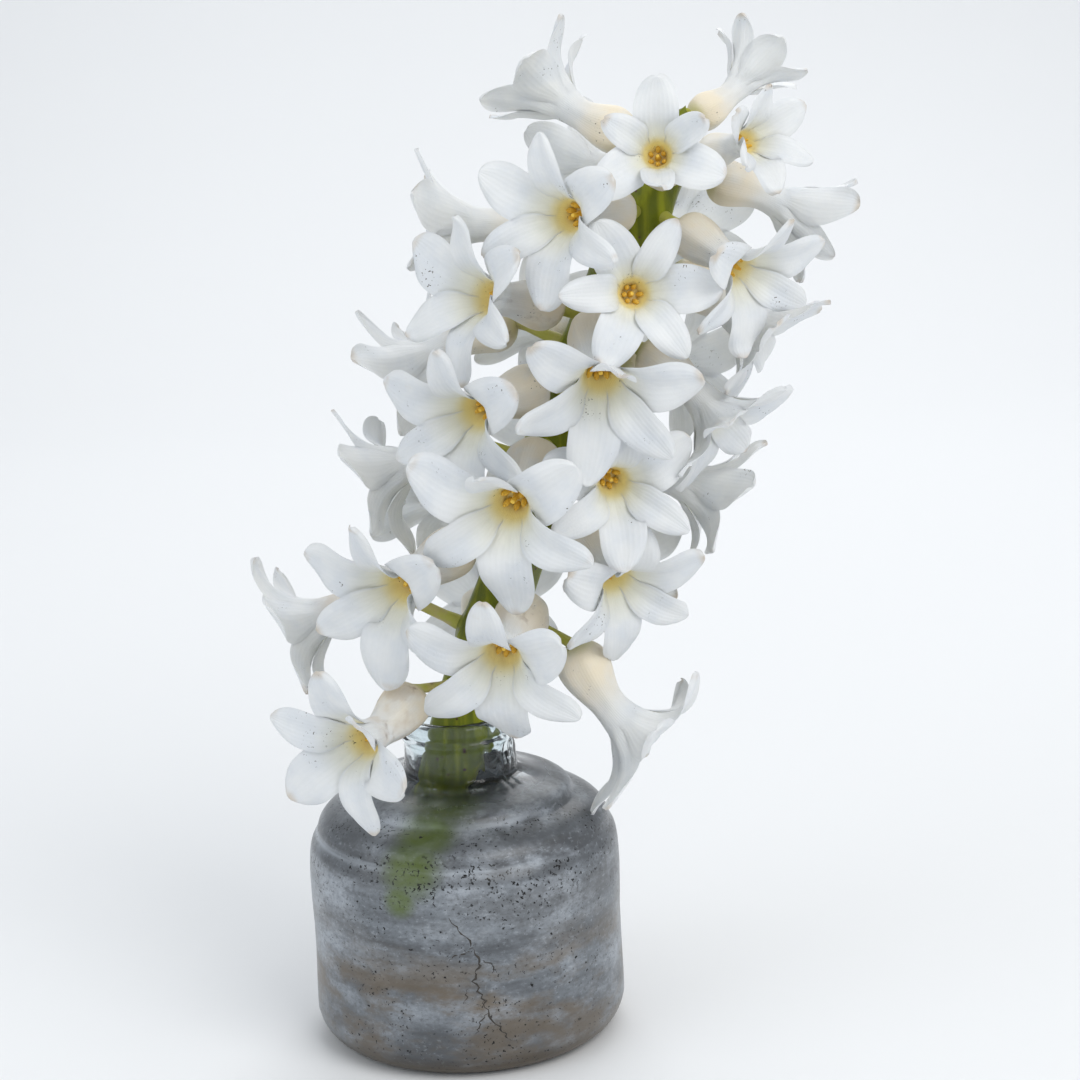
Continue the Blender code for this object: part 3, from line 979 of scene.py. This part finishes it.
PLANS = [
    FloretPlan("01", 178, 225, 11, (240, 10), (240, 34), 60, 0.95, (70, 45, 40, 45, 80, 65)),
    FloretPlan("02", 174, 0, 9, (350, 24), (355, 18), 0, 0.85, (50, 38, 75, 28, 75, 38)),
    FloretPlan("03", 186, 160, 9, (122, 10), (120, 40), 60, 0.76, (50, 45, 38, 45, 50, 45)),
    FloretPlan("04", 180, 60, 8, (42, 16), (36, 14), 60, 0.72, (42, 50, 60, 62, 58, 40)),
    FloretPlan("05", 175, 110, 11, (98, -12), (97, -30), 60, 0.9, (38, 34, 36, 34, 38, 36)),
    FloretPlan("06", 170, 200, 11, (205, 0), (205, 0), 60, 0.9, (70, 70, 70, 70, 70, 70)),
    FloretPlan("07", 164, 335, 10, (312, 6), (324, 2), 60, 1.0, (80, 80, 87, 85, 85, 70)),
    FloretPlan("08", 139, 303, 11, (294, 18), (312, 11), 60, 1.0, (75, 85, 85, 85, 80, 68)),
    FloretPlan("09", 146, 10, 9, (6, 14), (8, 12), 30, 0.92, (75, 80, 80, 80, 84, 78)),
    FloretPlan("10", 165, 43, 11, (43, -26), (39, -22), 60, 0.95, (82, 88, 85, 85, 80, 60)),
    FloretPlan("11", 154, 92, 10, (84, -30), (72, -38), 60, 1.0, (80, 80, 85, 85, 70, 60)),
    FloretPlan("12", 139, 350, 10, (1, -18), (3, -26), 45, 1.1, (85, 80, 68, 72, 80, 35)),
    FloretPlan("13", 137, 68, 11, (68, -30), (58, -45), 60, 1.0, (80, 75, 70, 75, 75, 75)),
    FloretPlan("14", 123, 325, 11, (292, -4), (322, -12), 60, 1.05, (85, 80, 85, 90, 90, 75)),
    FloretPlan("15", 105, 262, 14, (256, -6), (262, -22), 60, 1.0, (90, 85, 85, 80, 80, 80)),
    FloretPlan("16", 110, 345, 11, (340, -30), (340, -12), 60, 1.15, (100, 95, 95, 95, 95, 35)),
    FloretPlan("17", 110, 62, 8, (24, -5), (15, -7), 60, 0.95, (108, 85, 74, 72, 98, 98)),
    FloretPlan("18", 96, 85, 10, (36, -48), (29, -28), 60, 0.98, (100, 80, 84, 88, 88, 112)),
    FloretPlan("19", 85, 290, 12, (284, -30), (322, -12), 60, 1.1, (90, 80, 60, 70, 85, 75)),
    FloretPlan("20", 64, 245, 21, (268, 4), (268, -24), 60, 1.05, (90, 85, 90, 90, 90, 80)),
    FloretPlan("21", 75, 34, 11, (338, 0), (345, -22), 60, 1.1, (95, 90, 112, 85, 75, 90)),
    FloretPlan("22", 52, 316, 18, (312, -42), (326, -2), 10, 1.05, (70, 85, 85, 100, 65, 45)),
    FloretPlan("23", 71, 62, 20, (74, -72), (76, -46), 60, 1.1, (100, 84, 78, 84, 100, 116)),
    FloretPlan("24", 90, 225, 11, (212, 0), (212, 0), 60, 1.0, (80, 85, 85, 80, 75, 75)),
    FloretPlan("25", 131, 190, 11, (200, 8), (200, 0), 60, 0.95, (80, 80, 80, 80, 80, 80)),
    FloretPlan("26", 131, 244, 18, (260, -8), (256, -36), 60, 1.05, (80, 65, 45, 45, 75, 80)),
    FloretPlan("27", 152, 243, 17, (268, 14), (275, 4), 60, 1.0, (80, 80, 75, 45, 45, 60)),
    FloretPlan("28", 109, 112, 14, (90, -10), (90, -26), 60, 1.0, (65, 80, 85, 85, 70, 60)),
    FloretPlan("29", 156, 165, 11, (150, 5), (150, 0), 60, 0.95, (80, 80, 84, 80, 80, 80)),
    FloretPlan("30", 130, 140, 12, (135, -8), (135, -14), 60, 0.95, (84, 80, 80, 80, 80, 86)),
    FloretPlan("31", 107, 180, 11, (178, -4), (178, -12), 60, 1.0, (75, 80, 80, 80, 80, 70)),
    FloretPlan("32", 86, 135, 11, (140, -10), (140, -20), 60, 1.0, (85, 85, 85, 85, 85, 85)),
    FloretPlan("33", 66, 190, 11, (178, -4), (178, -12), 60, 1.0, (85, 85, 85, 85, 85, 80)),
]


# Florets whose anthers show in the throat, with their share of full length, and all the others.
SHOWY = {"03": 0.9, "10": 1.0, "04": 0.85}
HIDDEN = 0.66

# Florets whose tubes have begun to turn brown, and how far.
AGED = {"20": 1.0, "22": 0.8, "21": 0.5, "19": 0.45, "08": 0.3, "26": 0.7}


@dataclass(frozen=True)
class TepalShape:
    """The size and outline of one whorl's tepals."""

    length: float
    half_width: float
    root_limit: float
    tip_power: float
    offset: float


SHAPES = {
    Whorl.OUTER: TepalShape(18.4 * MM, 5.4 * MM, 0.72, 0.52, -0.45 * MM),
    Whorl.INNER: TepalShape(17.8 * MM, 4.1 * MM, 0.60, 0.56, 0.45 * MM),
}


@dataclass
class Floret:
    """One floret: a swollen tube with six tepals, six anthers and a pistil."""

    plan: FloretPlan
    stalk: Stalk
    tube_length: float = 18.5 * MM
    mouth_radius: float = 4.1 * MM
    wall: float = 0.7 * MM
    tepal_thickness: float = 0.85 * MM
    flare: float = math.radians(24)
    cup: float = 0.34
    groove: float = 0.5 * MM
    rolled_edge: float = 0.5 * MM
    tube_ribs: float = 0.035
    throat_floor: float = 0.79
    throat_narrowing: float = 0.9 * MM
    anther_radius: float = 0.56 * MM
    anther_ring: float = 1.5 * MM
    pedicel_radius: float = 1.35 * MM
    pedicel_steps: int = 6
    tube_steps: int = 22
    across_steps: int = 10
    along_steps: int = 22
    radii: tuple = (
        (0.0, 1.7), (0.04, 3.5), (0.12, 4.8), (0.25, 5.4), (0.4, 5.1), (0.56, 4.3),
        (0.72, 3.6), (0.86, 3.65), (1.0, 4.1),
    )

    def __post_init__(self) -> None:
        """Works out where the tube lies."""
        plan = self.plan
        point, along, radius = self.stalk.at(plan.station * MM)
        side = square_to(Vector((1, 0, 0)), along)
        front = square_to(Vector((0, -1, 0)), along)
        turn = math.radians(plan.turn)
        self.radial = side * math.sin(turn) + front * math.cos(turn)
        self.root = point + self.radial * (radius - 0.2 * MM)
        self.base = point + self.radial * plan.reach * MM
        self.axis = aim(*plan.face)
        half = self.tube_length * plan.size / 2
        self.middle = self.base + aim(*plan.leave) * half
        self.mouth = self.middle + self.axis * half
        up = square_to(Vector((0, 0, 1)), self.axis)
        self.u = Matrix.Rotation(math.radians(plan.spin), 3, self.axis) @ up
        self.v = self.axis.cross(self.u)
        self.dice = random.Random(int(plan.name) * 7 + 3)

    def tube_point(self, t: float) -> Vector:
        """Centre of the tube at a share of its length."""
        return self.base * (1 - t) ** 2 + self.middle * 2 * t * (1 - t) + self.mouth * t * t

    def tube_direction(self, t: float) -> Vector:
        """Direction of the tube at a share of its length."""
        return ((self.middle - self.base) * (1 - t) + (self.mouth - self.middle) * t).normalized()

    def tube_radius(self, t: float) -> float:
        """Outer radius of the tube at a share of its length."""
        return float(flowing(list(self.radii), t)[0]) * MM * self.plan.size

    def ring(self, centre: Vector, direction: Vector, radius: float, ribs: float = 0.0) -> list:
        """Places round the tube, six times as many as a tepal has steps across.

        Args:
            centre: The ring's centre.
            direction: The way that the ring faces.
            radius: The ring's radius.
            ribs: How deep the grooves between the tepals are, as a share of the radius.

        Returns:
            The places, the first at the edge of the first tepal.
        """
        turn = self.axis.rotation_difference(direction)
        u, v = turn @ self.u, turn @ self.v
        count = self.across_steps * TEPALS
        places = []
        for k in range(count):
            a = 2 * math.pi * k / count - math.pi / TEPALS
            r = radius * (1 + ribs * math.cos(TEPALS * a))
            places.append(centre + u * r * math.cos(a) + v * r * math.sin(a))
        return places

    def across_of_ring(self) -> list[float]:
        """How far in from its tepal's edge each place of a ring is, from 0 to 1."""
        step = self.across_steps
        return [1 - abs(2 * (k % step) / step - 1) for k in range(step * TEPALS)]

    def pedicel(self, skin: Skin) -> list:
        """Builds the short stalk from the main stalk to the tube.

        Args:
            skin: The skin to add to.

        Returns:
            The last ring's point numbers.
        """
        reach = (self.base - self.root).length
        knee = self.root + self.radial * reach * 0.45
        ring = None
        for k in range(self.pedicel_steps):
            share = k / self.pedicel_steps
            rest = 1 - share
            point = self.root * rest**2 + knee * 2 * share * rest + self.base * share**2
            along = ((knee - self.root) * rest + (self.base - knee) * share).normalized()
            along = along.lerp(self.tube_direction(0), share).normalized()
            radius = self.pedicel_radius * (1.35 - 0.35 * smooth(share / 0.35))
            new = skin.row(self.ring(point, along, radius), -0.5 + 0.5 * share)
            if ring is not None:
                skin.bridge(ring, new)
            ring = new
        return ring

    def tepal_line(self, index: int) -> list[tuple]:
        """The middle line of a tepal.

        Args:
            index: Which tepal, counted round from the u side.

        Returns:
            For each row: (share of length, centre, sideways, inward, half width).
        """
        size = self.plan.size
        shape = SHAPES[Whorl(index % 2)]
        a = 2 * math.pi * index / TEPALS
        radial = self.u * math.cos(a) + self.v * math.sin(a)
        sideways = self.axis.cross(radial)
        curl = math.radians(self.plan.curls[index] + self.dice.uniform(-5, 5))
        bend = self.dice.uniform(-1.5, 1.5) * MM * size
        twist = self.dice.uniform(-0.3, 0.3)
        broad = self.dice.uniform(0.95, 1.06)
        hood = self.dice.uniform(-0.45, 0.5)
        centre = self.mouth + radial * self.mouth_radius * size
        root_half = self.mouth_radius * size * math.sin(math.pi / TEPALS)
        finer, closing = 4, 1.5
        count = self.along_steps * finer
        rows = []
        shares = [1 - (1 - k / count) ** closing for k in range(count + 1)]
        for k, s in enumerate(shares):
            angle = self.flare + (curl - self.flare) * smooth(s / 0.8)
            angle -= hood * smooth((s - 0.72) / 0.28)
            inward = self.axis * math.sin(angle) - radial * math.cos(angle)
            if k % finer == 0:
                half = shape.half_width * size * broad
                wide = root_half + (half - root_half) * smooth(s / 0.4)
                limit = (centre - self.mouth).dot(radial) * shape.root_limit
                wide = min(wide, limit) if s < 0.4 else wide
                if s > 0.52:
                    wide *= max(0.0, 1 - ((s - 0.52) / 0.48) ** 2) ** shape.tip_power
                spread = sideways * math.cos(twist * s) + inward * math.sin(twist * s)
                place = centre + inward * shape.offset * smooth(s / 0.3) + sideways * bend * s * s
                rows.append((s, place, spread, inward, wide))
            ahead = radial * math.sin(angle) + self.axis * math.cos(angle)
            step = shares[min(k + 1, count)] - s
            centre = centre + ahead * shape.length * size * step
        return rows

    def tepal(self, skin: Skin, index: int, lip: list, lip_in: list) -> None:
        """Builds one tepal on from the lip.

        Args:
            skin: The skin to add to.
            index: Which tepal, counted round from the u side.
            lip: The tube's outer ring of point numbers.
            lip_in: The tube's inner ring of point numbers.
        """
        step = self.across_steps
        count = len(lip)
        low = [lip[(index * step + k) % count] for k in range(step + 1)]
        low_in = [lip_in[(index * step + k) % count] for k in range(step + 1)]
        shares = [2 * k / step - 1 for k in range(step + 1)]
        phase, ruffle = self.dice.uniform(0, 6.28), self.dice.uniform(0.1, 0.45) * MM
        rows = self.tepal_line(index)
        for s, centre, sideways, inward, wide in rows[1:-1]:
            cup = self.cup * (1 - smooth((s - 0.35) / 0.6))
            grown = smooth(s / 0.2)
            outer, inner = [], []
            for x in shares:
                wave = math.sin(phase + 7.5 * s + (1.5 if x > 0 else 0))
                wave *= ruffle * x * x * smooth(s / 0.4)
                groove = self.groove * math.exp(-((x / 0.25) ** 2)) * grown * (1 - s * 0.7)
                roll = max(0.0, (abs(x) - 0.6) / 0.4) ** 2 * grown * (1 - 2.2 * s)
                lift = cup * wide * x * x + wave - groove + self.rolled_edge * roll
                place = centre + sideways * wide * x + inward * lift
                thick = self.tepal_thickness * math.sqrt(max(0.0, 1 - x * x)) * (1 - 0.45 * s)
                outer.append(place)
                inner.append(place + inward * thick)
            high = skin.row(outer, 1 + s, shares, 0)
            middle = skin.row(inner[1:-1], 1 + s, shares[1:-1], 1)
            high_in = [high[0], *middle, high[-1]]
            skin.bridge(low, high, closed=False)
            skin.bridge(low_in, high_in, closed=False, flip=True)
            if low[0] != low_in[0]:
                skin.faces.append((low_in[0], low[0], high[0]))
                skin.faces.append((low[-1], low_in[-1], high[-1]))
            low, low_in = high, high_in
        _, centre, _, inward, _ = rows[-1]
        tip = skin.row([centre + inward * 0.15 * MM], 2)[0]
        for k in range(step):
            skin.faces.append((low[k], low[k + 1], tip))
            skin.faces.append((low_in[k + 1], low_in[k], tip))

    def flower_piece(self, finish: bpy.types.Material) -> bpy.types.Object:
        """Builds the short stalk, the tube, the throat and the six tepals as one skin.

        Args:
            finish: The tepals' material.

        Returns:
            The floret's object.
        """
        skin = Skin()
        skin.age = AGED.get(self.plan.name, 0.0)
        ring = self.pedicel(skin)
        skin.faces.append(tuple(range(self.across_steps * TEPALS))[::-1])
        shares = self.across_of_ring()
        for k in range(self.tube_steps + 1):
            t = (k / self.tube_steps) ** 1.25
            radius = self.tube_radius(t)
            ribs = self.tube_ribs * smooth(t / 0.25) * (1 - smooth((t - 0.7) / 0.3))
            places = self.ring(self.tube_point(t), self.tube_direction(t), radius, ribs)
            new = skin.row(places, t, shares)
            skin.bridge(ring, new)
            ring = new
        lip = ring
        thin = self.wall * self.plan.size
        lip_in = None
        for t in (1.0, 0.97, 0.94, 0.91, 0.88, 0.85, 0.825, 0.80):
            narrow = smooth((1.0 - t) / 0.2) * self.throat_narrowing
            radius = self.tube_radius(t) - thin - narrow
            places = self.ring(self.tube_point(t), self.tube_direction(t), radius)
            new = skin.row(places, t, shares, 1)
            if lip_in is None:
                lip_in = new
            else:
                skin.bridge(ring, new)
            ring = new
        low = self.throat_floor
        skin.fan(ring, skin.row([self.tube_point(low)], low, None, 1)[0])
        for index in range(TEPALS):
            self.tepal(skin, index, lip, lip_in)
        made = skin.piece(f"floret_{self.plan.name}_flower", finish)
        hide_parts(f"floret_{self.plan.name}")
        return made

    def stamens_piece(self, finish: bpy.types.Material) -> bpy.types.Object:
        """Builds the six anthers round the pistil, deep in the throat.

        Args:
            finish: The anthers' material.

        Returns:
            The stamens' object.
        """
        skin = Skin()
        size = self.plan.size
        steps, sides = 9, 8
        for k in range(TEPALS):
            a = 2 * math.pi * k / TEPALS + self.dice.uniform(-0.15, 0.15)
            radial = self.u * math.cos(a) + self.v * math.sin(a)
            start = self.tube_point(self.throat_floor) + radial * self.anther_ring * size
            lean = self.dice.uniform(0.0, 0.34)
            way = (self.axis + radial * lean).normalized()
            long = self.dice.uniform(3.4, 4.9) * MM * size * SHOWY.get(self.plan.name, HIDDEN)
            path = [start + way * long * j / steps for j in range(steps + 1)]
            swell = [math.sin(math.pi * (j + 0.6) / (steps + 1.2)) ** 0.5 for j in range(steps + 1)]
            skin.tube(path, [self.anther_radius * size * w for w in swell], sides, 0.0, 1.0)
        path = [self.tube_point(0.78 + 0.035 * j) for j in range(6)]
        radii = [w * MM * size for w in (0.9, 0.75, 0.5, 0.45, 0.55, 0.4)]
        skin.tube(path, radii, sides, 0.0, 0.4)
        return skin.piece(f"floret_{self.plan.name}_anthers", finish)


# ---------------------------------------------------------------- the studio


@dataclass
class Studio:
    """The floor, the lights and the camera."""

    eye: tuple = (20.28 * MM, -602.11 * MM, 262.86 * MM)
    right: tuple = (0.99897, -0.01097, -0.04402)
    up: tuple = (0.04536, 0.24167, 0.96930)
    ahead: tuple = (0.0, 0.97030, -0.24192)
    field: float = math.radians(21.69)
    floor_size: float = 12.0
    floor_colour: tuple = (0.80, 0.81, 0.82)
    floor_patches: tuple = (0.79, 0.80, 0.81)
    lit: tuple = (0.015, 0.0, 0.11)
    sky: float = 0.68

    def floor(self) -> None:
        """Lays the pale floor, which curves up into a backdrop."""
        half = self.floor_size / 2
        back, rise, bend, steps = 1.2, 1.4, 0.5, 12
        line = [(-half, 0.0), (back - bend, 0.0)]
        for k in range(1, steps + 1):
            turn = math.radians(90 * k / steps)
            line.append((back - bend + bend * math.sin(turn), bend * (1 - math.cos(turn))))
        line.append((back, rise))
        points = [(x, y, z) for y, z in line for x in (-half, half)]
        faces = [(2 * k, 2 * k + 1, 2 * k + 3, 2 * k + 2) for k in range(len(line) - 1)]
        mesh = bpy.data.meshes.new("studio_floor")
        mesh.from_pydata(points, [], faces)
        mesh.shade_smooth()
        board = Board("Floor pale")
        patches = board.blend(board.mottle(0.2), self.floor_colour, self.floor_patches)
        board.set(Base_Color=patches, Roughness=0.9)
        mesh.materials.append(board.material)
        made = bpy.data.objects.new("studio_floor", mesh)
        bpy.context.scene.collection.objects.link(made)

    def lamp(self, name: str, place: tuple, size: float, power: float, colour: tuple) -> None:
        """Hangs a soft square lamp that looks at the flower.

        Args:
            name: The lamp's name.
            place: Where it hangs.
            size: The length of its sides.
            power: Its power in watts.
            colour: The colour of its light.
        """
        data = bpy.data.lights.new(name, "AREA")
        data.size = size
        data.energy = power
        data.color = colour
        made = bpy.data.objects.new(name, data)
        made.location = place
        way = Vector(self.lit) - Vector(place)
        made.rotation_euler = way.to_track_quat("-Z", "Y").to_euler()
        bpy.context.scene.collection.objects.link(made)

    def lights(self) -> None:
        """Sets the soft lamps and the pale surroundings."""
        world = bpy.data.worlds.new("Studio air")
        world.use_nodes = True
        air = world.node_tree.nodes["Background"]
        air.inputs["Color"].default_value = (0.93, 0.96, 1.0, 1)
        air.inputs["Strength"].default_value = self.sky
        bpy.context.scene.world = world
        self.lamp("key_lamp", (0.6, -0.75, 0.9), 0.8, 7.4, (1.0, 0.985, 0.955))
        self.lamp("fill_lamp", (-0.9, -0.55, 0.6), 0.9, 2.6, (0.92, 0.97, 1.0))
        self.lamp("back_lamp", (0.1, 0.75, 0.8), 0.7, 3.4, (1.0, 1.0, 1.0))

    def camera(self) -> None:
        """Sets the camera."""
        data = bpy.data.cameras.new("camera")
        data.sensor_width = 36
        data.angle = self.field
        data.clip_start = 0.02
        made = bpy.data.objects.new("camera", data)
        rows = [(r, u, -a, e) for r, u, a, e in zip(self.right, self.up, self.ahead, self.eye)]
        made.matrix_world = Matrix((*rows, (0, 0, 0, 1)))
        bpy.context.scene.collection.objects.link(made)
        bpy.context.scene.camera = made

    def build(self) -> None:
        """Builds the whole studio."""
        self.floor()
        self.lights()
        self.camera()
        bpy.context.scene.view_settings.view_transform = "Standard"
        LOG.info("set the floor, the lamps and the camera")


def main() -> None:
    """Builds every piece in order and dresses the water."""
    logging.basicConfig(level=logging.INFO, format="%(name)s: %(message)s")
    Studio().build()
    bottle = Bottle()
    bottle.glass_piece()
    bottle.crack_piece()
    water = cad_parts["water"]
    water.data.materials.clear()
    water.data.materials.append(WaterFinish().material())
    LOG.info("dressed water")
    stalk = Stalk()
    stalk.stalk_piece(PLANS)
    white, gold = TepalFinish().material(), AntherFinish().material()
    for plan in PLANS:
        floret = Floret(plan, stalk)
        floret.flower_piece(white)
        floret.stamens_piece(gold)


if __name__ == "__main__":
    main()
